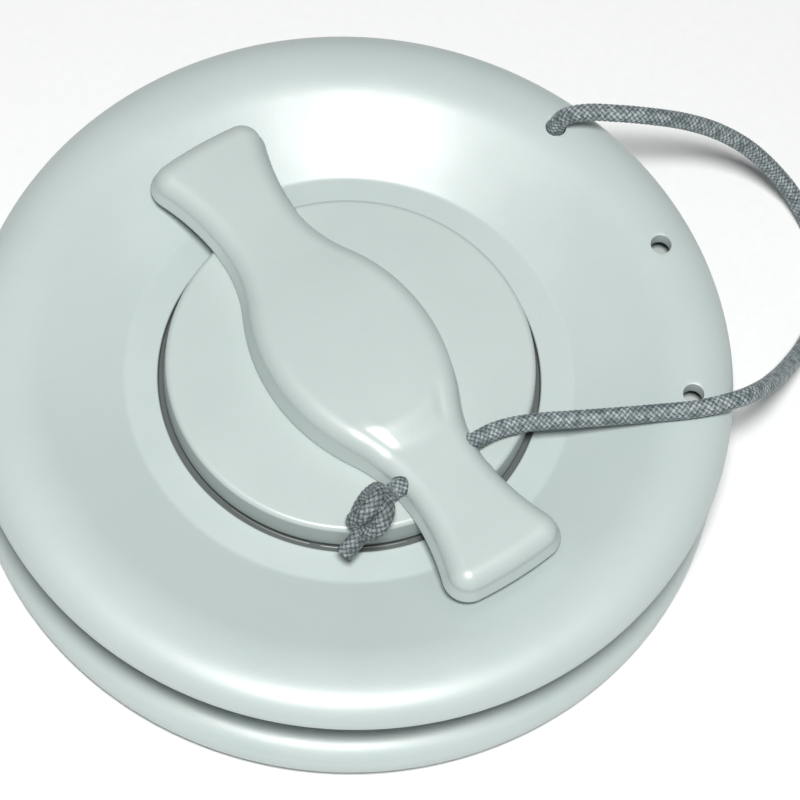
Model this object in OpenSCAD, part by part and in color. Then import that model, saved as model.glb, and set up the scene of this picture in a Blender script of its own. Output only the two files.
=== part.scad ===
// Deck fill fitting: a dished deck flange with its neck, a backing flange that clamps the deck from below,
// and a bayonet cap with a wing handle, tied to the flange by a braided lanyard.
// The origin is the centre of the neck's lower end. +Z is up, and the handle lies along X.

/* [Flanges] */
// Outer diameter of the deck flange and the backing flange
flange_d = 160; // [158:1:164]
// Height of the deck flange's crest above the neck's lower end
crest_z = 33; // [32.6:0.1:33.4]
// Radius of the rounding on the deck flange's outer edge
rim_round = 5.2; // [4.6:0.1:5.4]
// Radius where the dish meets the flat crest
crease_r = 67.5; // [66.5:0.5:68]
// Radius where the dish meets the flat ring around the cap
ring_r = 47; // [46.5:0.5:48]
// Height of the flat ring around the cap
ring_z = 24.4; // [24.3:0.1:24.5]
// Thickness of the moulded shell
shell = 3.2; // [2.8:0.1:3.4]
// Height of the deck flange's seating face
seat_z = 24; // [23.8:0.1:24.1]
// Thickness of the backing flange's rim
back_rim_h = 6; // [5.6:0.1:6]
// Height of the backing flange's lower edge as it hangs on its screws
back_z = 2.5; // [2.5:0.1:2.7]
// Thickness of each flat gasket
gasket_h = 1.5; // [1:0.1:1.6]

/* [Neck and cap] */
// Bore radius of the neck
bore_r = 33; // [32.8:0.1:33.2]
// Bore radius of the hose socket at the neck's lower end
socket_r = 33.6; // [33.5:0.1:34]
// Depth of the hose socket
socket_depth = 9; // [8:0.5:9.2]
// Wall thickness of the neck
neck_wall = 5; // [4.5:0.1:5]
// Radius of the raised cap disc at its foot
disc_r = 39; // [38.8:0.1:39.2]
// Height of the cap disc's top face
disc_top = 31.2; // [31:0.1:31.2]
// Depth of the groove in the ring around the disc's foot
gap_depth = 1.7; // [1.2:0.1:1.8]
// Radial gap between the plug and the bore
plug_gap = 0.4; // [0.3:0.05:0.5]
// Width of each bayonet ledge, in degrees
ledge_span = 70; // [64:1:74]
// Width of each bayonet lug, in degrees
lug_span = 38; // [30:1:40]
// Distance that ledges and lugs reach across the bore's edge
ledge_reach = 3; // [2.6:0.1:3]

/* [Handle] */
// Half the length of the handle
handle_half = 59.2; // [58:0.1:60]
// Half the width of the handle at its hub
hub_half = 18.7; // [18:0.1:19.4]
// Radius of the bulging sides of the hub
hub_side_r = 42; // [40:1:44]
// Half the width of the handle at each neck
waist_half = 10; // [9.5:0.1:10.4]
// Distance from the axis to the narrowest place
waist_x = 34; // [33:0.5:35]
// Height of the top of the paddles
paddle_top = 38.4; // [38:0.1:38.8]
// Height of the top of the hub
hub_top = 40.2; // [39.8:0.1:40.6]
// Height of the underside of the paddles
paddle_under = 31.7; // [31.6:0.1:31.8]
// Rounding of the handle's upper edge
edge_round = 2.8; // [2:0.1:3.2]

/* [Lanyard] */
// Diameter of the braided cord
cord_d = 3.8; // [3.4:0.1:4]
// Diameter of the lanyard holes
cord_hole_d = 4.4; // [4.3:0.1:4.6]
// Distance of the rim's lanyard holes from the axis
cord_hole_r = 71.2; // [71:0.1:71.4]
// Direction of the lanyard's own hole
cord_hole_a = 107.5; // [107:0.1:108]
// Angle between neighbouring rim holes
cord_hole_step = 28.8; // [26:0.1:30]

/* [Fasteners] */
// Number of clamp screws
clamp_n = 6; // [6:6]
// Pitch circle radius of the clamp screws
clamp_r = 52; // [51.5:0.5:52.5]
// Shank diameter of the clamp screws and the handle's side screws
small_screw_d = 3.9; // [3.8:0.05:3.95]
// Shank diameter of the centre screw
big_screw_d = 5.9; // [5.8:0.05:5.95]
// Distance of the handle's side screws from the axis
side_screw_x = 14; // [13:0.5:15]

/* [Hidden] */
$fn = 96;

flange_r = flange_d / 2;
eps = 0.01;
plastic = [0.74, 0.79, 0.78];
rubber = [0.13, 0.14, 0.14];
brass = [0.75, 0.6, 0.32];
steel = [0.75, 0.76, 0.78];
cord_grey = [0.37, 0.42, 0.44];

// Deck flange
neck_r = bore_r + neck_wall;
rim_wall = 4;
rim_lip = 1.6;
leg_r = 63.5;
leg_w = 3.5;
ledge_z = 14;
ledge_h = 3;
boss_r = 5;
boss_z = 19;
insert_r = 2.8;
insert_h = 4.4;
insert_bore_r = 2;
rib_w = 2.4;
rib_n = 12;

// Backing flange
back_top = back_z + back_rim_h;
back_round = 3.6;
back_step_r = 61;
back_bore_r = neck_r + 0.5;
web_z = 3.5;
web_h = 4;
gasket_in = 62.5;
deck_gasket_out = 77;
back_gasket_out = 70;

// Screws
clamp_head_r = 4;
clamp_head_h = 2.4;
clamp_head_z = 0.3;
washer_h = 0.8;
clamp_tip_z = 23;

// Cap
plug_r = bore_r - plug_gap;
disc_z = ring_z + 0.5;
disc_round = 1.4;
nose_r = bore_r - ledge_reach - 0.5;
nose_top = 17.5;
nose_z = 9.6;
cup_r = nose_r - 3;
cup_top = 22;
lug_z = 10;
lug_h = 3.6;
lug_n = 3;
o_ring_r = 1.6;
o_ring_z = 20.5;
o_groove = 3.3;
seal_in = 34.5;
seal_out = 37.4;
seal_h = 1.6;
seal_gap = 0.05;

// Handle
neck_foot_r = 36.4;
corner_r = 5.2;
end_r = 90;
paddle_side_r = 50;
plateau_r = 24;
eye_x = 30.4;
eye_z = 35;
centre_insert_r = 4.5;
centre_insert_h = 7;
handle_z = disc_top;

// The lanyard's route: through the rim's hole, over the rim, around on the surface that the fitting
// stands on, back over the rim and through the handle's eye.
route = [
    [-21.4, 67.9, 29.4], [-21.4, 67.9, 33], [-20.6, 69, 37.2], [-17.8, 72.2, 40.2],
    [-13.6, 77.4, 41], [-10, 84, 38.8], [-7, 91.2, 34.4], [-3.8, 98.4, 28.4], [0.2, 104.8, 21.4],
    [5, 109.8, 13.8], [10.8, 113, 7], [17.6, 113.4, 2], [25, 110.5, 2],
    [31.6, 106, 2], [37.2, 99.6, 3.4], [41.6, 92.2, 7.2], [45.4, 84.2, 13.2], [48.8, 76.4, 21],
    [51.6, 68.4, 29.2], [52.4, 60.6, 34.6], [50, 52.4, 35.4], [45.6, 44.4, 34.8],
    [41.2, 37, 34], [36.8, 29.4, 33.6], [33, 22, 34], [30.8, 15, 34.8], [30.4, 10.2, 35],
    [30.4, 0, 35], [30.4, -11, 35]
];
seam = 12;
last = len(route) - 1;
cord_sides = 8;
knot_a = [31.8, -16.1, 35.9];
knot_b = [33.2, -19.1, 35.5];
tail_a = [34, -20.9, 34.2];
tail_b = [35.2, -25.7, 31.4];

// Geometry helpers

function unit(v) = v / norm(v);

function arc(c, r, a0, a1, n) = [for (i = [0:n])
    let (a = a0 + (a1 - a0) * i / n) c + r * [cos(a), sin(a)]];

// Where circles (a, ra) and (b, rb) meet, on the right of the way from a to b
function meet(a, ra, b, rb) =
    let (d = norm(b - a),
         s = (d * d + ra * ra - rb * rb) / (2 * d),
         u = (b - a) / d)
    a + s * u + sqrt(ra * ra - s * s) * [u[1], -u[0]];

module tube(r_in, r_out, z0, z1) {
    translate([0, 0, z0]) difference() {
        cylinder(r = r_out, h = z1 - z0);
        translate([0, 0, -eps]) cylinder(r = r_in, h = z1 - z0 + 2 * eps);
    }
}

module rod(r, z0, z1) {
    translate([0, 0, z0]) cylinder(r = r, h = z1 - z0);
}

module around(n, r, a0 = 0) {
    for (i = [0:n - 1]) rotate(a0 + i * 360 / n) translate([r, 0, 0]) children();
}

module at_side_screws() {
    for (s = [-1, 1]) translate([s * side_screw_x, 0, 0]) children();
}

// A stretch of a ring centred on the direction a, for a span under 180 degrees
module ring_part(r_in, r_out, z0, z1, a, span) {
    far = 2 * r_out / cos(span / 2);
    side = far * [cos(span / 2), sin(span / 2)];
    rotate(a) intersection() {
        tube(r_in, r_out, z0, z1);
        translate([0, 0, z0 - 1]) linear_extrude(z1 - z0 + 2)
            polygon([[0, 0], [side[0], -side[1]], side]);
    }
}

// Deck flange

module deck_profile() {
    translate([bore_r, socket_depth]) square([neck_wall, ring_z - socket_depth]);
    translate([socket_r, 0]) square([neck_r - socket_r, socket_depth + eps]);
    translate([bore_r, ring_z - shell]) square([ring_r - bore_r, shell]);
    polygon([[ring_r, ring_z], [crease_r, crest_z], [crease_r, crest_z - shell],
             [leg_r, crest_z - shell - 1.4], [ring_r, ring_z - shell]]);
    translate([crease_r, crest_z - shell]) square([flange_r - rim_round - crease_r, shell]);
    intersection() {
        translate([flange_r - rim_round, crest_z - rim_round]) circle(rim_round);
        translate([flange_r - rim_round, crest_z - rim_round]) square(rim_round);
    }
    translate([flange_r - rim_wall, seat_z]) square([rim_lip, crest_z - rim_round - seat_z]);
    translate([leg_r, seat_z]) square([leg_w, crest_z - shell + 0.8 - seat_z]);
}

module rib() {
    foot = [[neck_r - 0.5, boss_z], [57, boss_z], [62, seat_z], [leg_r + 1, seat_z],
            [leg_r + 1, crest_z - shell], [ring_r, ring_z - shell / 2], [neck_r - 0.5, ring_z - shell / 2]];
    translate([0, rib_w / 2, 0]) rotate([90, 0, 0]) linear_extrude(rib_w) polygon(foot);
}

module deck_flange() color(plastic) difference() {
    union() {
        rotate_extrude() deck_profile();
        around(clamp_n, clamp_r) rod(boss_r, boss_z, ring_z - 0.5);
        for (i = [0:rib_n - 1]) rotate((i + 0.5) * 360 / rib_n) rib();
        for (i = [0:lug_n - 1])
            ring_part(bore_r - ledge_reach, bore_r + 1, ledge_z, ledge_z + ledge_h,
                      60 + i * 120, ledge_span);
    }
    tube(disc_r - 0.7, disc_r + 1, ring_z - gap_depth, ring_z + 1);
    around(clamp_n, clamp_r) rod(insert_r, boss_z - 1, boss_z + insert_h);
    for (i = [0:2]) rotate(cord_hole_a - i * cord_hole_step) translate([cord_hole_r, 0, 0])
        rod(cord_hole_d / 2, crest_z - shell - 1, crest_z + 1);
}

module deck_gasket() color(rubber) tube(gasket_in, deck_gasket_out, seat_z - gasket_h, seat_z);

module thread_inserts() color(brass) around(clamp_n, clamp_r)
    tube(insert_bore_r, insert_r, boss_z, boss_z + insert_h);

module clamp_screws() color(steel) around(clamp_n, clamp_r) {
    rod(clamp_head_r, clamp_head_z, clamp_head_z + clamp_head_h);
    rod(small_screw_d / 2, clamp_head_z + clamp_head_h - eps, clamp_tip_z);
}

module clamp_washers() color(steel) around(clamp_n, clamp_r)
    tube(2.1, 4.5, clamp_head_z + clamp_head_h, web_z);

// Backing flange

module backing_profile() {
    translate([back_bore_r, web_z]) square([back_step_r - back_bore_r + 1, web_h]);
    translate([back_step_r, back_z + 2.5]) square([flange_r - back_round - back_step_r, back_rim_h - 2.5]);
    translate([back_step_r, back_z]) square([3, back_rim_h]);
    intersection() {
        translate([flange_r - back_round, back_top - back_round]) circle(back_round);
        translate([flange_r - back_round, back_top - back_round]) square(back_round);
    }
    translate([flange_r - back_round, back_z]) square([back_round, back_rim_h - back_round]);
}

module backing_flange() color(plastic) difference() {
    rotate_extrude() backing_profile();
    around(clamp_n, clamp_r) rod(2.5, back_z, back_top);
}

module backing_gasket() color(rubber) tube(gasket_in, back_gasket_out, back_top, back_top + gasket_h);

// Cap

module cap_face_seal() color(rubber)
    tube(seal_in, seal_out, ring_z + seal_gap, ring_z + seal_gap + seal_h);

module plug_profile() {
    translate([cup_r, nose_z]) square([nose_r - cup_r, disc_z - nose_z]);
    translate([cup_r, nose_top]) square([plug_r - cup_r, disc_z - nose_top]);
    translate([0, cup_top]) square([plug_r, disc_z - cup_top]);
}

module plug_body() color(plastic) difference() {
    union() {
        rotate_extrude() plug_profile();
        for (i = [0:lug_n - 1])
            ring_part(nose_r - 1, plug_r, lug_z, lug_z + lug_h, i * 120, lug_span);
    }
    tube(plug_r - o_groove + 0.3, plug_r + 1, o_ring_z - o_groove / 2, o_ring_z + o_groove / 2);
    rod(big_screw_d / 2 + 0.2, cup_top - 1, disc_z + 1);
    at_side_screws() rod(small_screw_d / 2 + 0.2, cup_top - 1, disc_z + 1);
}

module plug_o_ring() color(rubber) rotate_extrude()
    translate([bore_r - seal_gap - o_ring_r, o_ring_z]) circle(o_ring_r);

module disc_profile() {
    translate([0, disc_z]) square([disc_r, disc_top - disc_round - disc_z]);
    translate([0, disc_z]) square([disc_r - disc_round, disc_top - disc_z]);
    translate([disc_r - disc_round, disc_top - disc_round]) circle(disc_round);
}

module cap_disc() color(plastic) difference() {
    rotate_extrude() disc_profile();
    tube(seal_in - 0.1, seal_out + 0.1, disc_z - 1, ring_z + seal_h + 2 * seal_gap);
    rod(big_screw_d / 2 + 0.2, disc_z - 1, disc_top + 1);
    at_side_screws() rod(small_screw_d / 2 + 0.2, disc_z - 1, disc_top + 1);
}

// Wing handle. The outline is made of arcs that run into each other; d draws it in from its edge.

hub_c = [0, hub_half - hub_side_r];
waist_side_r = let (h = waist_half - hub_c[1])
    (waist_x * waist_x + h * h - hub_side_r * hub_side_r) / (2 * (hub_side_r - h));
waist_c = [waist_x, waist_half + waist_side_r];
paddle_c = [waist_x, waist_half + paddle_side_r];
end_c = [handle_half - end_r, 0];
corner_c = meet(end_c, end_r - corner_r, paddle_c, paddle_side_r + corner_r);
hub_a = atan2(waist_c[1] - hub_c[1], waist_c[0] - hub_c[0]);
corner_a = atan2(paddle_c[1] - corner_c[1], paddle_c[0] - corner_c[0]);
end_a = atan2(corner_c[1] - end_c[1], corner_c[0] - end_c[0]);

function quarter(d) = concat(
    arc(end_c, end_r - d, 0, end_a, 2),
    arc(corner_c, corner_r - d, end_a, corner_a, 7),
    arc(paddle_c, paddle_side_r + d, corner_a - 180, -90, 5),
    arc(waist_c, waist_side_r + d, -90, hub_a - 180, 6),
    arc(hub_c, hub_side_r - d, hub_a, 90, 6));

function outline(d) = let (q = quarter(d), n = len(q)) concat(
    [for (i = [1:n - 2]) q[i]],
    [for (i = [n - 1:-1:1]) [-q[i][0], q[i][1]]],
    [for (i = [0:n - 2]) -q[i]],
    [for (i = [n - 1:-1:0]) [q[i][0], -q[i][1]]]);

module slab(d, z0, z1) {
    translate([0, 0, z0]) linear_extrude(z1 - z0) polygon(outline(d));
}

module handle_blank() {
    steps = 3;
    slab(0, paddle_under, paddle_top - edge_round);
    for (i = [1:steps]) let (a = 90 * (i - 0.35) / steps)
        slab(edge_round * (1 - cos(a)), paddle_under + 1,
             paddle_top - edge_round * (1 - sin(90 * i / steps)));
    intersection() {
        slab(edge_round * 0.6, paddle_under, hub_top);
        rod(plateau_r, paddle_under, hub_top);
    }
    intersection() {
        slab(0, handle_z, paddle_under + 1);
        rod(neck_foot_r, handle_z, paddle_under + 1);
    }
}

module wing_handle() color(plastic) difference() {
    handle_blank();
    rod(centre_insert_r, handle_z - 1, handle_z + centre_insert_h);
    at_side_screws() rod(insert_r, handle_z - 1, handle_z + insert_h);
    translate([eye_x, 0, eye_z]) rotate([90, 0, 0]) cylinder(r = cord_hole_d / 2, h = 60, center = true);
}

module handle_centre_insert() color(brass)
    tube(big_screw_d / 2 + 0.05, centre_insert_r, handle_z, handle_z + centre_insert_h);

module handle_side_inserts() color(brass) at_side_screws()
    tube(insert_bore_r, insert_r, handle_z, handle_z + insert_h);

module screw_up(r, head_r, head_h, washer, tip) {
    rod(head_r, cup_top - washer - head_h, cup_top - washer);
    rod(r, cup_top - washer - eps, tip);
}

module centre_screw() color(steel) screw_up(big_screw_d / 2, 5, 3.6, 1.2, handle_z + 6);

module centre_washer() color(steel) tube(big_screw_d / 2 + 0.2, 6, cup_top - 1.2, cup_top);

module side_screws() color(steel) at_side_screws()
    screw_up(small_screw_d / 2, clamp_head_r, clamp_head_h, washer_h, handle_z + 4);

module side_washers() color(steel) at_side_screws() tube(2.1, 4.5, cup_top - washer_h, cup_top);

// Lanyard

function heading(i) = unit(route[min(i + 1, last)] - route[max(i - 1, 0)]);

function cord_ring(i, side) = let (t = heading(i), u = unit(cross(side, t)), v = cross(t, u))
    [for (k = [0:cord_sides - 1]) let (a = 360 * k / cord_sides)
        route[i] + cord_d / 2 * (cos(a) * u + sin(a) * v)];

module cord_tube(first, end, side) {
    n = end - first;
    points = [for (i = [first:end]) each cord_ring(i, side)];
    wall = [for (i = [0:n - 1], k = [0:cord_sides - 1])
        let (m = (k + 1) % cord_sides, a = i * cord_sides, b = a + cord_sides)
        each [[a + k, b + k, b + m], [a + k, b + m, a + m]]];
    near_end = [[for (k = [0:cord_sides - 1]) k]];
    far_end = [[for (k = [cord_sides - 1:-1:0]) n * cord_sides + k]];
    polyhedron(points, concat(near_end, wall, far_end));
}

module lanyard_flange_half() color(cord_grey) cord_tube(0, seam, [1, -2, 0]);

module lanyard_cap_half() color(cord_grey) cord_tube(seam, last, [0, 0, 1]);

module flange_knot() color(cord_grey) translate([route[0][0], route[0][1], seat_z + 0.2])
    rotate_extrude() {
        translate([0, 0]) square([2, route[0][2] - seat_z - 0.2]);
        translate([0, 0]) square([3.2, route[0][2] - seat_z - 1.2]);
        translate([2.2, route[0][2] - seat_z - 1.2]) circle(1);
    }

module between(a, b, r) {
    d = b - a;
    translate(a) rotate([0, acos(d[2] / norm(d)), atan2(d[1], d[0])]) cylinder(r = r, h = norm(d));
}

module handle_knot() color(cord_grey) difference() {
    union() {
        translate(knot_a) sphere(4.1, $fn = 40);
        translate(knot_b) sphere(3.9, $fn = 40);
        between(tail_a, tail_b, cord_d / 2);
        translate(tail_b) sphere(2.3, $fn = 32);
        translate([eye_x, -11, eye_z]) rotate([90, 0, 0]) cylinder(r = cord_d / 2, h = 4);
    }
    translate([0, -11, eye_z - 10]) cube([80, 20, 20]);
}

deck_flange();
deck_gasket();
thread_inserts();
clamp_screws();
clamp_washers();
backing_flange();
backing_gasket();
cap_face_seal();
plug_body();
plug_o_ring();
cap_disc();
wing_handle();
handle_centre_insert();
handle_side_inserts();
centre_screw();
centre_washer();
side_screws();
side_washers();
flange_knot();
lanyard_flange_half();
lanyard_cap_half();
handle_knot();
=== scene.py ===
"""Deck fill cap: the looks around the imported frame, in metres."""
from math import atan2, cos, hypot, pi, radians, sin, sqrt

import bmesh
import bpy
import numpy as np
from mathutils import Matrix, Vector


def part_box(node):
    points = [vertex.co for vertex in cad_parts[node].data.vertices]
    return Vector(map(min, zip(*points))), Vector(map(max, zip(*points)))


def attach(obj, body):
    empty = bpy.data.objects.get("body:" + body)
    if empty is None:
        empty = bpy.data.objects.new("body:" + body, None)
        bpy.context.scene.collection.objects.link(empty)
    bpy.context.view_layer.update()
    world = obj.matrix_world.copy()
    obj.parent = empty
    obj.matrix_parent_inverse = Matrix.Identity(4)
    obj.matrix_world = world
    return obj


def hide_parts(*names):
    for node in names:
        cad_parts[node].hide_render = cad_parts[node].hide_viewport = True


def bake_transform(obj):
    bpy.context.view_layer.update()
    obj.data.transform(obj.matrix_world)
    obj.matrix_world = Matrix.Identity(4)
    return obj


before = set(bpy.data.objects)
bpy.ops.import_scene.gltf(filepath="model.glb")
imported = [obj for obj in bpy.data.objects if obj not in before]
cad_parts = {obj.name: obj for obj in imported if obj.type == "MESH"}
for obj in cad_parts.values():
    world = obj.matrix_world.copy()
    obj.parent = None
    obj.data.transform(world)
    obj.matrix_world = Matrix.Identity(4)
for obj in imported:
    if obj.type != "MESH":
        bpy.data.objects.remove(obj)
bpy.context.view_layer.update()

MM = 0.001


def top(node):
    """Highest z of a CAD node, in millimetres."""
    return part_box(node)[1][2] / MM


def foot(node):
    """Lowest z of a CAD node, in millimetres."""
    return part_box(node)[0][2] / MM


# ---------------------------------------------------------------- camera

# Where the camera is and what it looks at, in metres, its roll, and its focal length in millimetres.
EYE = Vector((244.3, -198.5, 661.6)) * MM
AIM = Vector((11.99, 4.19, 28.5)) * MM
ROLL = radians(7.01)
LENS = 153.0


def make_camera():
    """The main camera, rolled a little about its own axis."""
    data = bpy.data.cameras.new("camera")
    data.lens = LENS
    data.sensor_width = 36.0
    data.clip_end = 10.0
    camera = bpy.data.objects.new("camera", data)
    bpy.context.scene.collection.objects.link(camera)
    turn = (AIM - EYE).to_track_quat("-Z", "Y").to_matrix().to_4x4()
    camera.matrix_world = Matrix.Translation(EYE) @ turn @ Matrix.Rotation(ROLL, 4, "Z")
    bpy.context.scene.camera = camera


# ---------------------------------------------------------------- meshes

def mesh_object(name, verts, faces):
    """A linked object from points in millimetres."""
    mesh = bpy.data.meshes.new(name)
    mesh.from_pydata([tuple(float(x) * MM for x in v) for v in verts], [], faces)
    mesh.validate()
    obj = bpy.data.objects.new(name, mesh)
    bpy.context.scene.collection.objects.link(obj)
    return obj


def outward(obj):
    """Turns every face outward."""
    bm = bmesh.new()
    bm.from_mesh(obj.data)
    bmesh.ops.remove_doubles(bm, verts=bm.verts, dist=1e-6)
    bmesh.ops.recalc_face_normals(bm, faces=bm.faces)
    bm.to_mesh(obj.data)
    bm.free()
    return obj


def smooth(obj, angle=32):
    """Smooth shading with crisp edges where faces meet at more than angle degrees."""
    obj.data.shade_smooth()
    obj.data.set_sharp_from_angle(angle=radians(angle))
    return obj


def combine(target, others, operation):
    """Applies a boolean of each other object to target, and deletes the others."""
    for other in others:
        cut = target.modifiers.new("cut", "BOOLEAN")
        cut.operation = operation
        cut.solver = "EXACT"
        cut.object = other
    graph = bpy.context.evaluated_depsgraph_get()
    result = bpy.data.meshes.new_from_object(target.evaluated_get(graph))
    target.modifiers.clear()
    target.data = result
    for other in others:
        bpy.data.objects.remove(other)
    return target


def arc_points(centre, radius, a0, a1, steps):
    """Points on an arc; angles in radians."""
    return [
        (centre[0] + radius * cos(a0 + (a1 - a0) * i / steps),
         centre[1] + radius * sin(a0 + (a1 - a0) * i / steps))
        for i in range(steps + 1)
    ]


def rounded(corners, guard=0.35, longest=4.0):
    """A closed outline from corners (x, y, fillet radius), with guard points beside each fillet."""
    points = []
    n = len(corners)
    for i, (x, y, r) in enumerate(corners):
        here = Vector((x, y))
        back = Vector(corners[i - 1][:2]) - here
        ahead = Vector(corners[(i + 1) % n][:2]) - here
        back.normalize()
        ahead.normalize()
        if r <= 0:
            points.append(here)
            continue
        half = back.angle(ahead) / 2
        reach = r / np.tan(half)
        centre = here + (back + ahead).normalized() * (r / sin(half))
        start = here + back * reach - centre
        end = here + ahead * reach - centre
        a0 = atan2(start.y, start.x)
        sweep = (atan2(end.y, end.x) - a0 + pi) % (2 * pi) - pi
        steps = max(3, int(round(np.degrees(abs(sweep)) / 9)))
        points.append(here + back * (reach + guard))
        points += [Vector(p) for p in arc_points(centre, r, a0, a0 + sweep, steps)]
        points.append(here + ahead * (reach + guard))
    filled = []
    for i, p in enumerate(points):
        q = points[(i + 1) % len(points)]
        parts = max(1, int((q - p).length // longest))
        filled += [p.lerp(q, k / parts) for k in range(parts)]
    return [(p.x, p.y) for p in filled]


def revolve(name, profile, segments=240):
    """A closed profile of (r, z) in millimetres turned about the Z axis."""
    m = len(profile)
    verts = [
        (r * cos(2 * pi * s / segments), r * sin(2 * pi * s / segments), z)
        for s in range(segments) for r, z in profile
    ]
    faces = [
        (s * m + k, s * m + (k + 1) % m,
         ((s + 1) % segments) * m + (k + 1) % m, ((s + 1) % segments) * m + k)
        for s in range(segments) for k in range(m)
    ]
    return outward(mesh_object(name, verts, faces))


def prism(name, outline, z0, z1):
    """A closed upright prism over an outline in millimetres."""
    n = len(outline)
    verts = [(x, y, z0) for x, y in outline] + [(x, y, z1) for x, y in outline]
    faces = [(i, (i + 1) % n, n + (i + 1) % n, n + i) for i in range(n)]
    faces += [tuple(range(n - 1, -1, -1)), tuple(range(n, 2 * n))]
    return outward(mesh_object(name, verts, faces))


def plug_cutter(x, y, r, z0, z1, flare=0.0, steps=40):
    """A round cutter along Z that flares to its full width 1 mm below its top, to round a hole's mouth."""
    mouth = z1 - 1.0
    rings = [(r, z0), (r, mouth - flare), (r + 0.25 * flare, mouth - 0.4 * flare),
             (r + flare, mouth), (r + flare, z1)]
    verts = [
        (x + q * cos(2 * pi * k / steps), y + q * sin(2 * pi * k / steps), z)
        for q, z in rings for k in range(steps)
    ]
    faces = [
        (i * steps + k, i * steps + (k + 1) % steps,
         (i + 1) * steps + (k + 1) % steps, (i + 1) * steps + k)
        for i in range(len(rings) - 1) for k in range(steps)
    ]
    faces += [tuple(range(steps - 1, -1, -1)), tuple((len(rings) - 1) * steps + k for k in range(steps))]
    return outward(mesh_object("cutter", verts, faces))


def polar(r, degrees):
    """The point (x, y) at radius r and an angle in degrees."""
    return r * cos(radians(degrees)), r * sin(radians(degrees))


def finish_piece(obj, body, material, nodes=()):
    """Gives a piece its material, its body and the CAD nodes it stands for."""
    obj.data.materials.clear()
    obj.data.materials.append(material)
    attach(obj, body)
    if nodes:
        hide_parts(*nodes)
    return obj


# ---------------------------------------------------------------- materials

def node_tree(name):
    """A new material with its nodes, links and main shader."""
    material = bpy.data.materials.new(name)
    material.use_nodes = True
    nodes, links = material.node_tree.nodes, material.node_tree.links
    return material, nodes, links, nodes["Principled BSDF"]


def add(nodes, kind, **sockets):
    """A shader node with some of its input sockets set; spaces in names are written as _."""
    node = nodes.new(kind)
    for key, value in sockets.items():
        node.inputs[key.replace("_", " ")].default_value = value
    return node


def noise(nodes, links, where, scale, detail=2.0, roughness=0.5):
    """A noise texture's value, mostly between 0.3 and 0.7."""
    node = add(nodes, "ShaderNodeTexNoise", Scale=scale, Detail=detail, Roughness=roughness)
    links.new(where, node.inputs["Vector"])
    return node.outputs["Fac"]


def spread(nodes, links, value, low, high, from_low=0.3, from_high=0.7):
    """value mapped from its own range to the range from low to high."""
    node = add(nodes, "ShaderNodeMapRange", From_Min=from_low, From_Max=from_high,
               To_Min=low, To_Max=high)
    links.new(value, node.inputs["Value"])
    return node.outputs["Result"]


def blend_colour(nodes, links, factor, first, second):
    """A colour between first and second."""
    node = nodes.new("ShaderNodeMix")
    node.data_type = "RGBA"
    node.inputs["A"].default_value = (*first, 1.0)
    node.inputs["B"].default_value = (*second, 1.0)
    links.new(factor, node.inputs["Factor"])
    return node.outputs["Result"]


def bump(nodes, links, height, strength, distance, normal=None):
    """A normal tilted by a height, in metres, on top of another normal."""
    node = add(nodes, "ShaderNodeBump", Strength=strength, Distance=distance)
    links.new(height, node.inputs["Height"])
    if normal is not None:
        links.new(normal, node.inputs["Normal"])
    return node.outputs["Normal"]


def times(nodes, links, first, second):
    """The product of two values."""
    both = nodes.new("ShaderNodeMath")
    both.operation = "MULTIPLY"
    links.new(first, both.inputs[0])
    links.new(second, both.inputs[1])
    return both.outputs["Value"]


def between(nodes, links, value, low, high, soft):
    """1 where value lies between low and high, with soft edges."""
    rise = spread(nodes, links, value, 0.0, 1.0, low - soft, low + soft)
    fall = spread(nodes, links, value, 1.0, 0.0, high - soft, high + soft)
    return times(nodes, links, rise, fall)


def axis_distance(nodes, links, where):
    """Distance from the Z axis."""
    flat = nodes.new("ShaderNodeVectorMath")
    flat.operation = "MULTIPLY"
    flat.inputs[1].default_value = (1.0, 1.0, 0.0)
    links.new(where, flat.inputs[0])
    radius = nodes.new("ShaderNodeVectorMath")
    radius.operation = "LENGTH"
    links.new(flat.outputs["Vector"], radius.inputs[0])
    return radius.outputs["Value"]


def moulded_plastic(name, base, shade, rough, painted_shade_bands):
    """Satin injection-moulded plastic: faint mottling, fine spark texture and rubbed patches.

    The last argument lists (inner radius, outer radius, lowest z, highest z, brightness), in millimetres and
    as a factor on the colour: painted shade, the places around the cap's foot darkened in colour where shade
    falls.
    """
    material, nodes, links, shader = node_tree(name)
    where = nodes.new("ShaderNodeTexCoord").outputs["Object"]
    mottle = spread(nodes, links, noise(nodes, links, where, 32.0, 3.0), 0.0, 1.0)
    colour = blend_colour(nodes, links, mottle, base, shade)
    parts = nodes.new("ShaderNodeSeparateXYZ")
    links.new(where, parts.inputs["Vector"])
    radius = axis_distance(nodes, links, where)
    # Painted shade: each band darkens the colour to stand in for the shade in the gap at the cap's foot.
    for inner, outer, low, high, dark in painted_shade_bands:
        ring = between(nodes, links, radius, inner * MM, outer * MM, 0.15 * MM)
        band = between(nodes, links, parts.outputs["Z"], low * MM, high * MM, 0.25 * MM)
        shade_mix = nodes.new("ShaderNodeMix")
        shade_mix.data_type = "RGBA"
        shade_mix.inputs["B"].default_value = (*[c * dark for c in base], 1.0)
        links.new(times(nodes, links, ring, band), shade_mix.inputs["Factor"])
        links.new(colour, shade_mix.inputs["A"])
        colour = shade_mix.outputs["Result"]
    links.new(colour, shader.inputs["Base Color"])
    rub = spread(nodes, links, noise(nodes, links, where, 90.0, 4.0), rough - 0.035, rough + 0.045)
    links.new(rub, shader.inputs["Roughness"])
    grain = bump(nodes, links, noise(nodes, links, where, 2600.0, 2.0), 0.22, 0.00006)
    waves = bump(nodes, links, noise(nodes, links, where, 45.0, 1.0), 0.1, 0.0004, grain)
    links.new(waves, shader.inputs["Normal"])
    shader.inputs["Specular IOR Level"].default_value = 0.85
    shader.inputs["Subsurface Weight"].default_value = 0.05
    shader.inputs["Subsurface Scale"].default_value = 0.002
    return material


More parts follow.
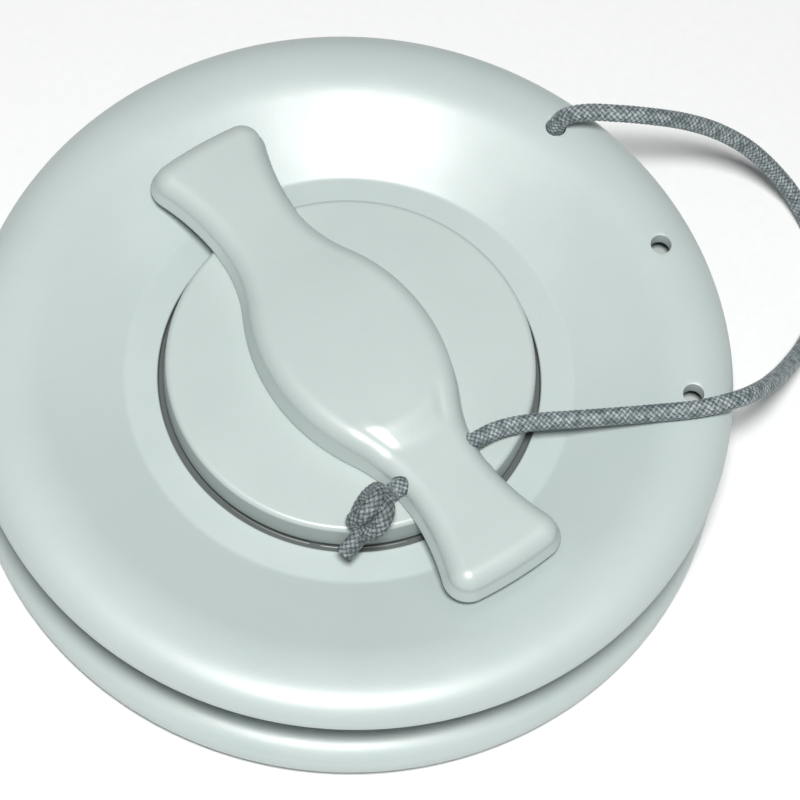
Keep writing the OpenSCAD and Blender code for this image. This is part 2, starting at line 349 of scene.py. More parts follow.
def gasket_rubber(name, dark, dusty):
    """Moulded rubber with a dull bloom of dust."""
    material, nodes, links, shader = node_tree(name)
    where = nodes.new("ShaderNodeTexCoord").outputs["Object"]
    dust = spread(nodes, links, noise(nodes, links, where, 160.0, 5.0), 0.0, 1.0)
    links.new(blend_colour(nodes, links, dust, dark, dusty), shader.inputs["Base Color"])
    links.new(spread(nodes, links, dust, 0.52, 0.72, 0.0, 1.0), shader.inputs["Roughness"])
    links.new(bump(nodes, links, noise(nodes, links, where, 1800.0, 2.0), 0.3, 0.00008),
              shader.inputs["Normal"])
    return material


def turned_metal(name, base, shade, rough):
    """Machined metal with fine turning marks and slightly uneven polish."""
    material, nodes, links, shader = node_tree(name)
    where = nodes.new("ShaderNodeTexCoord").outputs["Object"]
    wave = add(nodes, "ShaderNodeTexWave", Scale=900.0, Distortion=1.5, Detail=2.0)
    wave.bands_direction = "Z"
    links.new(where, wave.inputs["Vector"])
    stain = spread(nodes, links, noise(nodes, links, where, 300.0, 4.0), 0.0, 1.0)
    links.new(blend_colour(nodes, links, stain, base, shade), shader.inputs["Base Color"])
    links.new(spread(nodes, links, stain, rough - 0.06, rough + 0.08, 0.0, 1.0),
              shader.inputs["Roughness"])
    links.new(bump(nodes, links, wave.outputs["Fac"], 0.12, 0.00003), shader.inputs["Normal"])
    shader.inputs["Metallic"].default_value = 1.0
    return material


def braid_cord(name="braid_cord", shade_factor=1.0):
    """Polyester braid: the weave is in the mesh, and its height comes with the strand attribute; the low
    places between the strands are painted near-black as shade.
    """
    material, nodes, links, shader = node_tree(name)
    crown = nodes.new("ShaderNodeAttribute")
    crown.attribute_name = "strand"
    where = nodes.new("ShaderNodeTexCoord").outputs["Object"]
    valley_shade = spread(nodes, links, crown.outputs["Fac"], 0.0, 1.0, 0.2, 0.95)
    fleck = spread(nodes, links, noise(nodes, links, where, 700.0, 3.0), 0.0, 1.0, 0.38, 0.62)
    # The second argument scales every colour down: painted shade for the knots.
    yarn = blend_colour(nodes, links, fleck, [shade_factor * c for c in (0.17, 0.215, 0.225)],
                        [shade_factor * c for c in (0.46, 0.52, 0.54)])
    # Painted shade: the colour falls to near-black in the valleys between the strands.
    colour = nodes.new("ShaderNodeMix")
    colour.data_type = "RGBA"
    colour.inputs["A"].default_value = (0.03 * shade_factor, 0.042 * shade_factor, 0.046 * shade_factor, 1.0)
    links.new(valley_shade, colour.inputs["Factor"])
    links.new(yarn, colour.inputs["B"])
    links.new(colour.outputs["Result"], shader.inputs["Base Color"])
    fibre = noise(nodes, links, where, 5200.0, 2.0)
    links.new(bump(nodes, links, fibre, 0.35, 0.00008), shader.inputs["Normal"])
    links.new(spread(nodes, links, fleck, 0.5, 0.66, 0.0, 1.0), shader.inputs["Roughness"])
    shader.inputs["Sheen Weight"].default_value = 0.15
    shader.inputs["Sheen Roughness"].default_value = 0.4
    return material


# ---------------------------------------------------------------- lanyard

CORD_D = 3.8
ROUTE = [
    (-21.4, 67.9, 29.4), (-21.4, 67.9, 33), (-20.6, 69, 37.2), (-17.8, 72.2, 40.2),
    (-13.6, 77.4, 41), (-10, 84, 38.8), (-7, 91.2, 34.4), (-3.8, 98.4, 28.4), (0.2, 104.8, 21.4),
    (5, 109.8, 13.8), (10.8, 113, 7), (17.6, 113.4, 2), (25, 110.5, 2),
    (31.6, 106, 2), (37.2, 99.6, 3.4), (41.6, 92.2, 7.2), (45.4, 84.2, 13.2), (48.8, 76.4, 21),
    (51.6, 68.4, 29.2), (52.4, 60.6, 34.6), (50, 52.4, 35.4), (45.6, 44.4, 34.8),
    (41.2, 37, 34), (36.8, 29.4, 33.6), (33, 22, 34), (30.8, 15, 34.8), (30.4, 10.2, 35),
    (30.4, 0, 35), (30.4, -11, 35),
]
# The route's point where the lanyard's two halves meet.
SEAM = 12
STRANDS = 16
BRAID_PITCH = 9.4
BRAID_DEPTH = 0.26
CORD_STEP = 0.19
FLOOR_CLEARANCE = 0.06


def through(points, step):
    """Evenly spaced points on a smooth curve through the given ones (centripetal Catmull-Rom)."""
    p = np.array(points, float)
    p = np.vstack([2 * p[0] - p[1], p, 2 * p[-1] - p[-2]])
    out = []
    for a, b, c, d in zip(p[:-3], p[1:-2], p[2:-1], p[3:]):
        t0 = 0.0
        t1 = t0 + sqrt(np.linalg.norm(b - a))
        t2 = t1 + sqrt(np.linalg.norm(c - b))
        t3 = t2 + sqrt(np.linalg.norm(d - c))
        t = np.linspace(t1, t2, 40, endpoint=False)[:, None]
        ab = (t1 - t) / (t1 - t0) * a + (t - t0) / (t1 - t0) * b
        bc = (t2 - t) / (t2 - t1) * b + (t - t1) / (t2 - t1) * c
        cd = (t3 - t) / (t3 - t2) * c + (t - t2) / (t3 - t2) * d
        abc = (t2 - t) / (t2 - t0) * ab + (t - t0) / (t2 - t0) * bc
        bcd = (t3 - t) / (t3 - t1) * bc + (t - t1) / (t3 - t1) * cd
        out.append((t2 - t) / (t2 - t1) * abc + (t - t1) / (t2 - t1) * bcd)
    curve = np.vstack(out + [p[-2:-1]])
    run = np.concatenate([[0], np.cumsum(np.linalg.norm(np.diff(curve, axis=0), axis=1))])
    even = np.linspace(0, run[-1], max(2, int(round(run[-1] / step)) + 1))
    return np.stack([np.interp(even, run, curve[:, k]) for k in range(3)], axis=1)


def length_of(path):
    """The length of a path of points."""
    return float(np.linalg.norm(np.diff(path, axis=0), axis=1).sum())


def carried_frames(path):
    """Tangents and two normals at each point, carried along without twist."""
    tangent = np.gradient(path, axis=0)
    tangent /= np.linalg.norm(tangent, axis=1)[:, None]
    side = np.cross(tangent[0], (0.3, -0.9, 0.31))
    sides = []
    for t in tangent:
        side = side - t * np.dot(side, t)
        side /= np.linalg.norm(side)
        sides.append(side)
    sides = np.array(sides)
    return tangent, sides, np.cross(tangent, sides)


def braid_height(turn, run):
    """How far the braid's surface stands up, 0 to 1, at an angle and a run in millimetres."""
    one = STRANDS * turn / (2 * pi) / 2 + STRANDS * run / BRAID_PITCH / 2
    two = STRANDS * turn / (2 * pi) / 2 - STRANDS * run / BRAID_PITCH / 2
    over = 0.5 + 0.5 * np.cos(pi * (np.floor(one) + np.floor(two)))
    ridge_one = np.sin(pi * (one % 1.0))
    ridge_two = np.sin(pi * (two % 1.0))
    on_top = np.where(over > 0.5, ridge_one * (0.62 + 0.38 * ridge_two),
                      ridge_two * (0.62 + 0.38 * ridge_one))
    return on_top ** 0.7


def braided_tube(name, path, start_run=0.0, sides=64):
    """A cord swept along path, in millimetres, with its woven surface in the mesh."""
    _, u, v = carried_frames(path)
    step = np.linalg.norm(np.diff(path, axis=0), axis=1)
    run = start_run + np.concatenate([[0], np.cumsum(step)])
    turn = np.linspace(0, 2 * pi, sides, endpoint=False)
    height = braid_height(turn[None, :], run[:, None])
    radius = CORD_D / 2 - BRAID_DEPTH + BRAID_DEPTH * height
    ring = (np.cos(turn)[None, :, None] * u[:, None, :] + np.sin(turn)[None, :, None] * v[:, None, :])
    points = path[:, None, :] + radius[:, :, None] * ring
    n = len(path)
    verts = points.reshape(-1, 3).tolist()
    faces = [
        (i * sides + k, i * sides + (k + 1) % sides,
         (i + 1) * sides + (k + 1) % sides, (i + 1) * sides + k)
        for i in range(n - 1) for k in range(sides)
    ]
    verts += [path[0].tolist(), path[-1].tolist()]
    first, final = n * sides, n * sides + 1
    faces += [(first, (k + 1) % sides, k) for k in range(sides)]
    faces += [(final, (n - 1) * sides + k, (n - 1) * sides + (k + 1) % sides) for k in range(sides)]
    obj = mesh_object(name, verts, faces)
    strand = obj.data.attributes.new("strand", "FLOAT", "POINT")
    strand.data.foreach_set("value", np.append(height.ravel(), [0.4, 0.4]).astype(np.float32))
    obj.data.shade_smooth()
    return obj


def make_lanyard(material):
    """The lanyard in two halves that meet at the loop's far point, each with its centreline."""
    path = through(ROUTE, CORD_STEP)
    path[:, 2] = np.maximum(path[:, 2], CORD_D / 2 + FLOOR_CLEARANCE)
    seam_at = int(np.argmin(np.linalg.norm(path - np.array(ROUTE[SEAM], float), axis=1)))
    first, second = path[:seam_at + 1], path[seam_at:]
    runs = [0.0, length_of(first)]
    halves = [
        ("lanyard_to_flange", first, ("deck_flange", "cap_seal"), "lanyard_flange_half"),
        ("lanyard_to_cap", second, ("cap_seal", "cap"), "lanyard_cap_half"),
    ]
    made = []
    for (name, line, bodies, node), run in zip(halves, runs):
        piece = braided_tube(name, line, run)
        piece.data.materials.append(material)
        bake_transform(piece)
        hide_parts(node)
        made.append((piece, line))
    return made


# ---------------------------------------------------------------- knots

def make_handle_knot(material):
    """The stopper knot past the handle's eye, with its short tail, in frame millimetres."""
    lead = [(30.4, -10.6, 35), (30.5, -12.2, 35.2)]
    knot = [
        (32.0, -14.0, 38.2), (35.0, -16.0, 39.0), (36.1, -19.0, 36.6), (34.0, -20.7, 33.8),
        (30.5, -19.1, 33.4), (28.8, -15.9, 34.6), (29.5, -14.1, 37.6), (31.5, -15.8, 39.9),
        (32.6, -19.0, 39.2), (31.8, -21.1, 35.9), (32.6, -20.1, 33.6), (34.2, -21.7, 33.6),
    ]
    tail = [(34.9, -23.9, 32.8), (35.3, -25.9, 31.6)]
    path = through(lead + knot + tail, CORD_STEP)
    piece = braided_tube("handle_knot_tied", path, start_run=3.0)
    return finish_piece(piece, "cap", material, ["handle_knot"])


def make_flange_knot(material):
    """The knot in the hollow under the crest, as offsets from the route's first point."""
    x, y = ROUTE[0][:2]
    knot = [
        (0.2, 0.2, 5.4), (0.9, -0.3, 4.2), (1.2, -1.0, 3.2), (0.2, -1.3, 2.5), (-1.1, -0.7, 2.4),
        (-1.2, 0.6, 2.6), (-0.2, 1.3, 2.9), (1.0, 0.9, 2.4), (0.9, -0.2, 1.9), (0.1, -0.3, 2.0),
    ]
    base = foot("flange_knot")
    path = through([(x + a, y + b, base + c) for a, b, c in knot], CORD_STEP)
    piece = braided_tube("flange_knot_tied", path, start_run=3.0)
    return finish_piece(piece, "deck_flange", material, ["flange_knot"])


# ---------------------------------------------------------------- flanges

# Radii and heights in millimetres, from the axis and from the neck's foot.
FLANGE_R = 80.0
CREST_Z = top("deck_flange")
RING_Z = 24.4
RING_R = 47.0
CREASE_R = 67.5
BORE_R = 33.0
GAP_R = 40.0
GAP_WIDE = 1.7
GAP_DEEP = 1.7
LIP_R = 77.6
RIM_UNDER = CREST_Z - 5.2
CREST_ROUND = 8.4
NECK_R = 38.0
NECK_CLEARANCE = 0.5
SEAT_Z = 24.0
SHELL = 3.2
LEG_IN_R = 63.5
LEG_OUT_R = 67.0
HOLLOW_R = 75.4
LIP_IN_R = 76.0
BOSS_R = 5.0
BOSS_Z = 19.0
INSERT_BORE_R = 2.8
INSERT_TOP = 23.4
RIB_W = 2.4
RIB_COUNT = 12
LEDGE_Z = 14.0
LEDGE_H = 3.0
LEDGE_REACH = 3.0
LEDGE_SPAN = 70.0
HOLE_R = 2.2
HOLE_FLARE = 0.2
DISH_SLOPE = (CREST_Z - RING_Z) / (CREASE_R - RING_R)
CREASE_REACH = 4.0
CORD_HOLES = [(71.2, 107.5 - 28.8 * i) for i in range(3)]
SCREW_PLACES = [polar(52.0, 60 * i) for i in range(6)]


def ellipse(centre, a, b, steps):
    """The outer upper quarter of an ellipse, from its side to its top."""
    return [(centre[0] + a * cos(pi / 2 * i / steps), centre[1] + b * sin(pi / 2 * i / steps))
            for i in range(steps + 1)]


def crest_blend(steps):
    """The soft crease between the flat crest and the dish, as a parabola."""
    points = []
    reach = CREASE_REACH
    for i in range(steps + 1):
        t = i / steps
        r = (1 - t) ** 2 * (CREASE_R + reach) + 2 * t * (1 - t) * CREASE_R + t * t * (CREASE_R - reach)
        z = (1 - t) ** 2 * CREST_Z + 2 * t * (1 - t) * CREST_Z + t * t * (CREST_Z - reach * DISH_SLOPE)
        points.append((r, z))
    return points


def rib_outline(under):
    """One rib of the deck flange's underside, as (r, z)."""
    return [
        (NECK_R - 0.5, BOSS_Z), (57, BOSS_Z), (62, SEAT_Z), (LEG_IN_R + 1, SEAT_Z), (LEG_IN_R + 1, under),
        (RING_R, RING_Z - SHELL / 2), (NECK_R - 0.5, RING_Z - SHELL / 2),
    ]


def make_deck_flange(material):
    """The dished flange with its neck, bosses, ribs, bayonet ledges and lanyard holes."""
    under = CREST_Z - SHELL
    rim_foot = RIM_UNDER + 0.4
    above = CREST_Z + 3.0
    groove = RING_Z - GAP_DEEP
    outline = rounded([
        (BORE_R, 0, 0.4), (NECK_R, 0, 0.6), (NECK_R, RING_Z - SHELL, 1.2),
        (RING_R - 0.4, RING_Z - SHELL, 1.5), (LEG_IN_R, under - 1.6, 0.6), (LEG_IN_R, SEAT_Z, 0.4),
        (LEG_OUT_R, SEAT_Z, 0.4), (LEG_OUT_R, under, 0.8), (HOLLOW_R, under, 0.8), (LIP_IN_R, SEAT_Z, 0.3),
        (LIP_R, SEAT_Z, 0.4), (LIP_R, RIM_UNDER, 0.5), (FLANGE_R, RIM_UNDER, 0.4),
        (FLANGE_R, above, 0), (CREASE_R, above, 0), (CREASE_R, CREST_Z, 0),
        (CREASE_R - CREASE_REACH, CREST_Z - CREASE_REACH * DISH_SLOPE, 0),
        (RING_R, RING_Z, 2.2), (GAP_R, RING_Z, 0.5), (GAP_R, groove, 0.4),
        (GAP_R - GAP_WIDE, groove, 0.4), (GAP_R - GAP_WIDE, RING_Z, 0.25),
        (BORE_R, RING_Z, 0.6),
    ], guard=0.2)
    # The outline's square corner above the crest gives way to the rounded rim and the crease.
    start = next(i for i, (r, z) in enumerate(outline) if r > FLANGE_R - 0.01 and z > RIM_UNDER + 0.5)
    stop = next(i for i, (r, z) in enumerate(outline) if i > start and r < CREASE_R - 3.9)
    rim = ellipse((FLANGE_R - CREST_ROUND, rim_foot), CREST_ROUND, CREST_Z - rim_foot, 26)
    profile = outline[:start] + rim + crest_blend(12)[1:] + outline[stop:]
    flange = revolve("deck_flange_moulding", profile, 288)
    adds = [plug_cutter(x, y, BOSS_R, BOSS_Z, RING_Z - 0.5) for x, y in SCREW_PLACES]
    for i in range(RIB_COUNT):
        blade = prism("rib", rib_outline(under), -RIB_W / 2, RIB_W / 2)
        angle = radians((i + 0.5) * 360 / RIB_COUNT)
        blade.data.transform(Matrix.Rotation(angle, 4, "Z") @ Matrix.Rotation(pi / 2, 4, "X"))
        adds.append(blade)
    for middle in (60, 180, 300):
        a0, a1 = radians(middle - LEDGE_SPAN / 2), radians(middle + LEDGE_SPAN / 2)
        outside = arc_points((0, 0), BORE_R + 1, a0, a1, 28)
        inside = arc_points((0, 0), BORE_R - LEDGE_REACH, a1, a0, 28)
        adds.append(prism("ledge", outside + inside, LEDGE_Z, LEDGE_Z + LEDGE_H))
    combine(flange, adds, "UNION")
    cuts = [plug_cutter(x, y, INSERT_BORE_R, BOSS_Z - 1, INSERT_TOP) for x, y in SCREW_PLACES]
    for r, a in CORD_HOLES:
        cuts.append(plug_cutter(*polar(r, a), HOLE_R, under - 2, CREST_Z + 1.0, HOLE_FLARE))
    combine(flange, cuts, "DIFFERENCE")
    return finish_piece(smooth(flange), "deck_flange", material, ["deck_flange"])


BACK_STEP_R = 61.0
BACK_LEG_R = 64.0
BACK_GROOVE_R = 76.4
BACK_EDGE_WIDE = 6.6
BACK_EDGE_HIGH = 4.8
BACK_HOLE_R = 2.5


def make_backing_flange(material):
    """The lower flange with its rounded edge and six screw holes."""
    low, high = foot("backing_flange"), top("backing_flange")
    bore = NECK_R + NECK_CLEARANCE
    web_low, web_high = low + 1.0, low + 5.0
    above = high + 3
    groove = low + 2.5
    outline = rounded([
        (bore, web_low, 0.4), (BACK_STEP_R, web_low, 0.2), (BACK_STEP_R, low, 0.2), (BACK_LEG_R, low, 0.4),
        (BACK_LEG_R, groove, 0.6), (BACK_GROOVE_R, groove, 0.8), (BACK_GROOVE_R, low, 0.3),
        (FLANGE_R, low, 0.5), (FLANGE_R, above, 0), (BACK_STEP_R, above, 0),
        (BACK_STEP_R, web_high, 0.2), (bore, web_high, 0.4),
    ], guard=0.2)
    # The outline's square corner above the top face gives way to the rounded edge and the flat top.
    start = next(i for i, (r, z) in enumerate(outline) if r > FLANGE_R - 0.01 and z > low + 0.9)
    stop = next(i for i, (r, z) in enumerate(outline) if i > start and r < BACK_STEP_R + 0.01 and z < high)
    edge = ellipse((FLANGE_R - BACK_EDGE_WIDE, high - BACK_EDGE_HIGH), BACK_EDGE_WIDE, BACK_EDGE_HIGH, 22)
    flat = [(70, high), (65, high), (BACK_STEP_R + 0.3, high)]
    flange = revolve("backing_flange_moulding", outline[:start] + edge + flat + outline[stop:], 288)
    cuts = [plug_cutter(x, y, BACK_HOLE_R, low, low + 7.0, 0.3) for x, y in SCREW_PLACES]
    combine(flange, cuts, "DIFFERENCE")
    return finish_piece(smooth(flange), "backing_flange", material, ["backing_flange"])


# ---------------------------------------------------------------- cap

DISC_FOOT_R = 38.9
DISC_TOP_R = 38.4
DISC_HOLE_R = 3.15
SEAL_IN_R = 34.4
SEAL_OUT_R = 37.5


def make_cap_disc(material):
    """The cap's raised disc, with the face seal's channel below and the centre screw's hole."""
    low, high = foot("cap_disc"), top("cap_disc")
    roof = RING_Z + 1.7
    profile = rounded([
        (DISC_HOLE_R, low, 0), (SEAL_IN_R, low, 0), (SEAL_IN_R, roof, 0.2), (SEAL_OUT_R, roof, 0.2),
        (SEAL_OUT_R, low, 0.2), (DISC_FOOT_R, low, 0.3), (DISC_TOP_R, high, 1.2), (DISC_HOLE_R, high, 0),
    ], guard=0.2)
    disc = revolve("cap_disc_moulding", profile, 240)
    return finish_piece(smooth(disc), "cap", material, ["cap_disc"])


# The handle's outline: circles for its hub, waists, flared paddles, corners and ends.
HANDLE_HALF = 59.2
HUB_HALF = 18.7
HUB_SIDE_R = 42.0
WAIST_HALF = 10.0
WAIST_X = 34.0
PADDLE_SIDE_R = 50.0
CORNER_R = 5.2
END_R = 90.0
PLATEAU_R = 22.5
EYE_X = 30.4
EYE_Z = 35.0
EYE_R = 2.25
# The handle's skin: its edge's width and height, the wall's draft and the foot's fillet.
EDGE_WIDE = 5.0
EDGE_HIGH = 3.5
DRAFT = 1.0
FOOT_ROUND = 0.7


def circles_meet(a, ra, b, rb):
    """Where two circles meet, on the right of the way from a to b."""
    d = hypot(b[0] - a[0], b[1] - a[1])
    s = (d * d + ra * ra - rb * rb) / (2 * d)
    u = ((b[0] - a[0]) / d, (b[1] - a[1]) / d)
    w = sqrt(ra * ra - s * s)
    return (a[0] + s * u[0] + w * u[1], a[1] + s * u[1] - w * u[0])


def handle_quarter(inset):
    """The handle's outline from its end's middle to its hub's middle, drawn in by inset."""
    hub = (0.0, HUB_HALF - HUB_SIDE_R)
    h = WAIST_HALF - hub[1]
    waist_r = (WAIST_X ** 2 + h * h - HUB_SIDE_R ** 2) / (2 * (HUB_SIDE_R - h))
    waist = (WAIST_X, WAIST_HALF + waist_r)
    paddle = (WAIST_X, WAIST_HALF + PADDLE_SIDE_R)
    end = (HANDLE_HALF - END_R, 0.0)
    corner = circles_meet(end, END_R - CORNER_R, paddle, PADDLE_SIDE_R + CORNER_R)
    hub_a = np.arctan2(waist[1] - hub[1], waist[0] - hub[0])
    corner_a = np.arctan2(paddle[1] - corner[1], paddle[0] - corner[0])
    end_a = np.arctan2(corner[1] - end[1], corner[0] - end[0])
    parts = [
        arc_points(end, END_R - inset, 0, end_a, 16),
        arc_points(corner, CORNER_R - inset, end_a, corner_a, 32),
        arc_points(paddle, PADDLE_SIDE_R + inset, corner_a - pi, -pi / 2, 24),
        arc_points(waist, waist_r + inset, -pi / 2, hub_a - pi, 20),
        arc_points(hub, HUB_SIDE_R - inset, hub_a, pi / 2, 28),
    ]
    points = parts[0]
    for part in parts[1:]:
        points += part[1:]
    return points


def handle_outline(inset):
    """The whole outline, from four quarters."""
    q = handle_quarter(inset)
    return np.array(
        q[:-1] + [(-x, y) for x, y in q[:0:-1]] + [(-x, -y) for x, y in q[:-1]]
        + [(x, -y) for x, y in q[:0:-1]])


def soft_step(x):
    """0 below 0, 1 above 1 and a smooth rise between."""
    x = np.clip(x, 0.0, 1.0)
    return x * x * (3 - 2 * x)


def handle_roof(p, high):
    """Height of the handle's top over points p: paddles, hub and the steps between them."""
    r = np.hypot(p[:, 0], p[:, 1])
    near = soft_step((PLATEAU_R + 3.6 - r) / 7.0)
    rise = np.where(p[:, 0] > 0, near, soft_step((38.0 + p[:, 0]) / 30.0))
    dome = 0.35 * np.clip(1 - (r / PLATEAU_R) ** 2, 0, 1)
    wing = 0.5 * soft_step((np.abs(p[:, 0]) - 30) / 28)
    return high - 2.3 + 1.8 * rise + dome + wing


def handle_sole(p, low):
    """Height of the handle's underside: flat on the disc, a little higher beyond it."""
    r = np.hypot(p[:, 0], p[:, 1])
    return low + 0.5 * soft_step((r - 35.6) / 1.2)


def towards_middle(p, t):
    """Points p moved the part t of the way to the handle's middle line."""
    reach = HANDLE_HALF - 14
    spine = np.stack([np.clip(p[:, 0] * 0.98, -reach, reach), 0 * p[:, 0]], axis=1)
    return p * (1 - t) + spine * t


def handle_rings(low, high):
    """The handle's skin as rings of points, from the underside's middle to the top's."""
    rings = []
    under = handle_outline(FOOT_ROUND)
    sole = handle_sole(under, low)
    for t in np.linspace(1.0, 0.05, 12):
        p = towards_middle(under, t)
        rings.append(np.column_stack([p, handle_sole(p, low)]))
    for a in np.linspace(0, pi / 2, 5):
        p = handle_outline(FOOT_ROUND * (1 - sin(a)))
        rings.append(np.column_stack([p, sole + FOOT_ROUND * (1 - cos(a))]))
    rim = handle_roof(handle_outline(EDGE_WIDE * 0.8), high) - EDGE_HIGH
    for t in (0.15, 0.5, 0.85):
        p = handle_outline(DRAFT * t)
        rings.append(np.column_stack([p, (sole + FOOT_ROUND) * (1 - t) + rim * t]))
    for a in np.linspace(0, pi / 2, 13):
        p = handle_outline(DRAFT + (EDGE_WIDE - DRAFT) * (1 - cos(a)))
        rings.append(np.column_stack([p, rim + EDGE_HIGH * sin(a)]))
    upper = handle_outline(EDGE_WIDE)
    settle = rim + EDGE_HIGH - handle_roof(upper, high)
    for t in np.linspace(0.03, 1.0, 48):
        p = towards_middle(upper, t)
        rings.append(np.column_stack([p, handle_roof(p, high) + settle * (1 - soft_step(t * 3))]))
    return rings


def make_handle(material):
    """The wing handle as one closed skin, with the lanyard's eye through its waist."""
    rings = handle_rings(foot("wing_handle"), top("wing_handle"))
    n = len(rings[0])
    faces = [
        (i * n + k, i * n + (k + 1) % n, (i + 1) * n + (k + 1) % n, (i + 1) * n + k)
        for i in range(len(rings) - 1) for k in range(n)
    ]
    handle = mesh_object("wing_handle_moulding", np.vstack(rings).tolist(), faces)
    bm = bmesh.new()
    bm.from_mesh(handle.data)
    bmesh.ops.remove_doubles(bm, verts=bm.verts, dist=2e-5)
    bmesh.ops.holes_fill(bm, edges=[e for e in bm.edges if e.is_boundary])
    bmesh.ops.recalc_face_normals(bm, faces=bm.faces)
    bm.to_mesh(handle.data)
    bm.free()
    eye = plug_cutter(0, 0, EYE_R, -30, 30, steps=48)
    place = Matrix.Translation(Vector((EYE_X, 0, EYE_Z)) * MM)
    eye.data.transform(place @ Matrix.Rotation(pi / 2, 4, "X"))
    combine(handle, [eye], "DIFFERENCE")
    return finish_piece(smooth(handle, 40), "cap", material, ["wing_handle"])


# ---------------------------------------------------------------- screws

def threaded_screw(head_z, head_r, head_h, shank_r, tip_z, pitch=0.8, sides=32):
    """A pan-head screw on the Z axis, head down, with a helical thread and a cross recess."""
    turn = np.linspace(0, 2 * pi, sides, endpoint=False)
    depth = 0.18 * shank_r
    rows = [(head_r * 0.35, head_z, 0), (head_r * 0.7, head_z + 0.06 * head_h, 0),
            (head_r * 0.9, head_z + 0.2 * head_h, 0), (head_r, head_z + 0.45 * head_h, 0),
            (head_r, head_z + head_h - 0.1, 0), (head_r - 0.1, head_z + head_h, 0),
            (shank_r, head_z + head_h, 0)]
    rows += [(shank_r, z, 1) for z in np.arange(head_z + head_h + 0.3, tip_z - 0.8, pitch / 8)]
    rows += [(shank_r - depth, tip_z - 0.7, 0), (shank_r * 0.55, tip_z, 0)]
    verts = []
    for r, z, threaded in rows:
        wave = np.abs(((z / pitch - turn / (2 * pi)) % 1.0) * 2 - 1)
        ring = r - threaded * depth * wave
        verts += np.column_stack([ring * np.cos(turn), ring * np.sin(turn), np.full(sides, z)]).tolist()
    faces = [
        (i * sides + k, i * sides + (k + 1) % sides,
         (i + 1) * sides + (k + 1) % sides, (i + 1) * sides + k)
        for i in range(len(rows) - 1) for k in range(sides)
    ]
    faces += [tuple(range(sides - 1, -1, -1)), tuple((len(rows) - 1) * sides + k for k in range(sides))]
    screw = outward(mesh_object("screw", verts, faces))
    reach, half_width = 0.62 * head_r, 0.13 * head_r
    arm = [(-reach, -half_width), (reach, -half_width), (reach, half_width), (-reach, half_width)]
    cuts = []
    for angle in (45, 135):
        blade = prism("blade", arm, head_z - 1, head_z + 0.55 * head_h)
        blade.data.transform(Matrix.Rotation(radians(angle), 4, "Z"))
        cuts.append(blade)
    return combine(screw, cuts, "DIFFERENCE")


def make_screws(name, node, body, material, places, **sizes):
    """Copies of one screw at each place, as one piece that replaces the node."""
    screw = threaded_screw(**sizes)
    bm = bmesh.new()
    for x, y in places:
        part = screw.data.copy()
        part.transform(Matrix.Translation(Vector((x, y, 0)) * MM) @ Matrix.Rotation(x + 2 * y, 4, "Z"))
        bm.from_mesh(part)
        bpy.data.meshes.remove(part)
    bm.to_mesh(screw.data)
    bm.free()
    screw.name = name
    return finish_piece(smooth(screw, 40), body, material, [node])


# ---------------------------------------------------------------- carried-over CAD nodes

def paint_cad(materials):
    """Gives each CAD node that still shows its own material."""
    for node, material in materials.items():
        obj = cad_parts[node]
        obj.data.materials.clear()
        obj.data.materials.append(material)


# ---------------------------------------------------------------- studio

def area_light(name, place, aim, size, power, colour):
    """A round light at place, facing aim."""
    data = bpy.data.lights.new(name, "AREA")
    data.shape = "DISK"
    data.size = size
    data.energy = power
    data.color = colour
    light = bpy.data.objects.new(name, data)
    bpy.context.scene.collection.objects.link(light)
    light.location = place
    light.rotation_euler = (Vector(aim) - Vector(place)).to_track_quat("-Z", "Y").to_euler()


def make_floor():
    """A plain pale floor just under the object."""
    half, z = 1500, -0.3
    corners = [(-half, -half, z), (half, -half, z), (half, half, z), (-half, half, z)]
    floor = mesh_object("floor", corners, [(0, 1, 2, 3)])
    material, nodes, links, shader = node_tree("floor")
    where = nodes.new("ShaderNodeTexCoord").outputs["Object"]
    paper = noise(nodes, links, where, 400.0, 3.0)
    links.new(blend_colour(nodes, links, paper, (0.86, 0.87, 0.87), (0.9, 0.905, 0.905)),
              shader.inputs["Base Color"])
    shader.inputs["Roughness"].default_value = 0.9
    shader.inputs["Specular IOR Level"].default_value = 0.1
    floor.data.materials.append(material)


def make_light():
    """A dim pale sky and one soft light high up on the camera's side."""
    world = bpy.data.worlds.new("world")
    bpy.context.scene.world = world
    world.use_nodes = True
    sky = world.node_tree.nodes["Background"]
    sky.inputs["Color"].default_value = (0.93, 0.98, 1.0, 1.0)
    sky.inputs["Strength"].default_value = 0.15
    bpy.context.scene.view_settings.view_transform = "Standard"
    to_eye = Vector((EYE.x, EYE.y, 0)).normalized()
    right = Vector((-to_eye.y, to_eye.x, 0))
    key = to_eye * 0.32 + right * 0.01 + Vector((0, 0, 1.0))
    area_light("key", place=key, aim=(0, 0, 0.02), size=0.2, power=11.6, colour=(1.0, 0.995, 0.98))


# ---------------------------------------------------------------- assembly

make_camera()

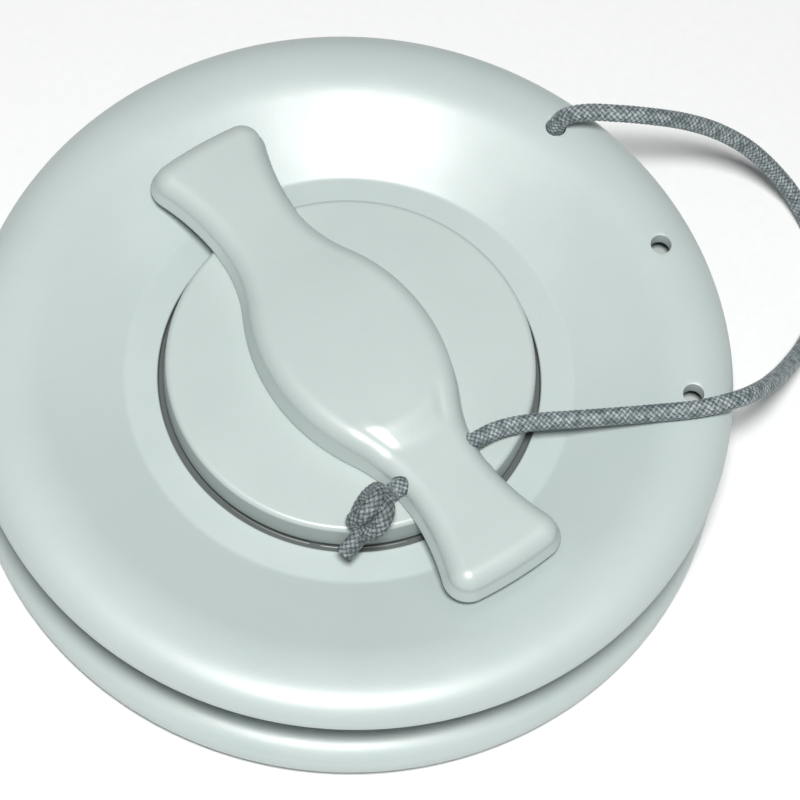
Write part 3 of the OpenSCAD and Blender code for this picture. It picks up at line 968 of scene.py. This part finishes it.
cord_material = braid_cord()
# Painted shade: the knots use the same cord with all its colours scaled down to 0.72, for the shade among the
# knots' turns.
knot_shaded_cord = braid_cord("braid_knot_shaded", 0.72)
handle_knot = make_handle_knot(knot_shaded_cord)
flange_knot = make_flange_knot(knot_shaded_cord)
(first, first_line), (second, second_line) = make_lanyard(cord_material)

# The last list in each is painted shade: the groove round the cap disc and the disc's wall are darkened in
# colour where shade falls.
flange_plastic = moulded_plastic(
    "flange_plastic", (0.495, 0.57, 0.562), (0.525, 0.595, 0.587), 0.38,
    [(GAP_R - GAP_WIDE - 0.3, GAP_R + 0.2, RING_Z - 4, RING_Z - 0.15, 0.22)])
cap_plastic = moulded_plastic(
    "cap_plastic", (0.497, 0.567, 0.555), (0.527, 0.593, 0.581), 0.36,
    [(37.95, 40.0, foot("cap_disc") - 1, top("cap_disc") - 0.75, 0.66)])
make_deck_flange(flange_plastic)
make_backing_flange(flange_plastic)
make_cap_disc(cap_plastic)
make_handle(cap_plastic)

rubber = gasket_rubber("seal_rubber", (0.012, 0.013, 0.013), (0.034, 0.036, 0.036))
grey_rubber = gasket_rubber("gasket_rubber", (0.42, 0.48, 0.47), (0.5, 0.56, 0.55))
steel = turned_metal("stainless_steel", (0.62, 0.63, 0.64), (0.5, 0.51, 0.52), 0.28)
brass = turned_metal("machined_brass", (0.74, 0.55, 0.26), (0.6, 0.42, 0.18), 0.3)
make_screws("clamp_screws_threaded", "clamp_screws", "deck_flange", steel, SCREW_PLACES,
            head_z=foot("clamp_screws"), head_r=4.0, head_h=2.4, shank_r=1.95, tip_z=top("clamp_screws"))
make_screws("centre_screw_threaded", "centre_screw", "cap", steel, [(0.0, 0.0)],
            head_z=foot("centre_screw"), head_r=5.0, head_h=3.6, shank_r=2.95,
            tip_z=top("centre_screw"), pitch=1.0)
make_screws("side_screws_threaded", "side_screws", "cap", steel, [(-14.0, 0.0), (14.0, 0.0)],
            head_z=foot("side_screws"), head_r=4.0, head_h=2.4, shank_r=1.95, tip_z=top("side_screws"))
paint_cad({
    "plug_body": cap_plastic,
    "deck_gasket": grey_rubber, "backing_gasket": grey_rubber, "cap_face_seal": rubber, "plug_o_ring": rubber,
    "thread_inserts": brass, "handle_centre_insert": brass, "handle_side_inserts": brass,
    "clamp_washers": steel, "centre_washer": steel, "side_washers": steel,
})

make_floor()
make_light()
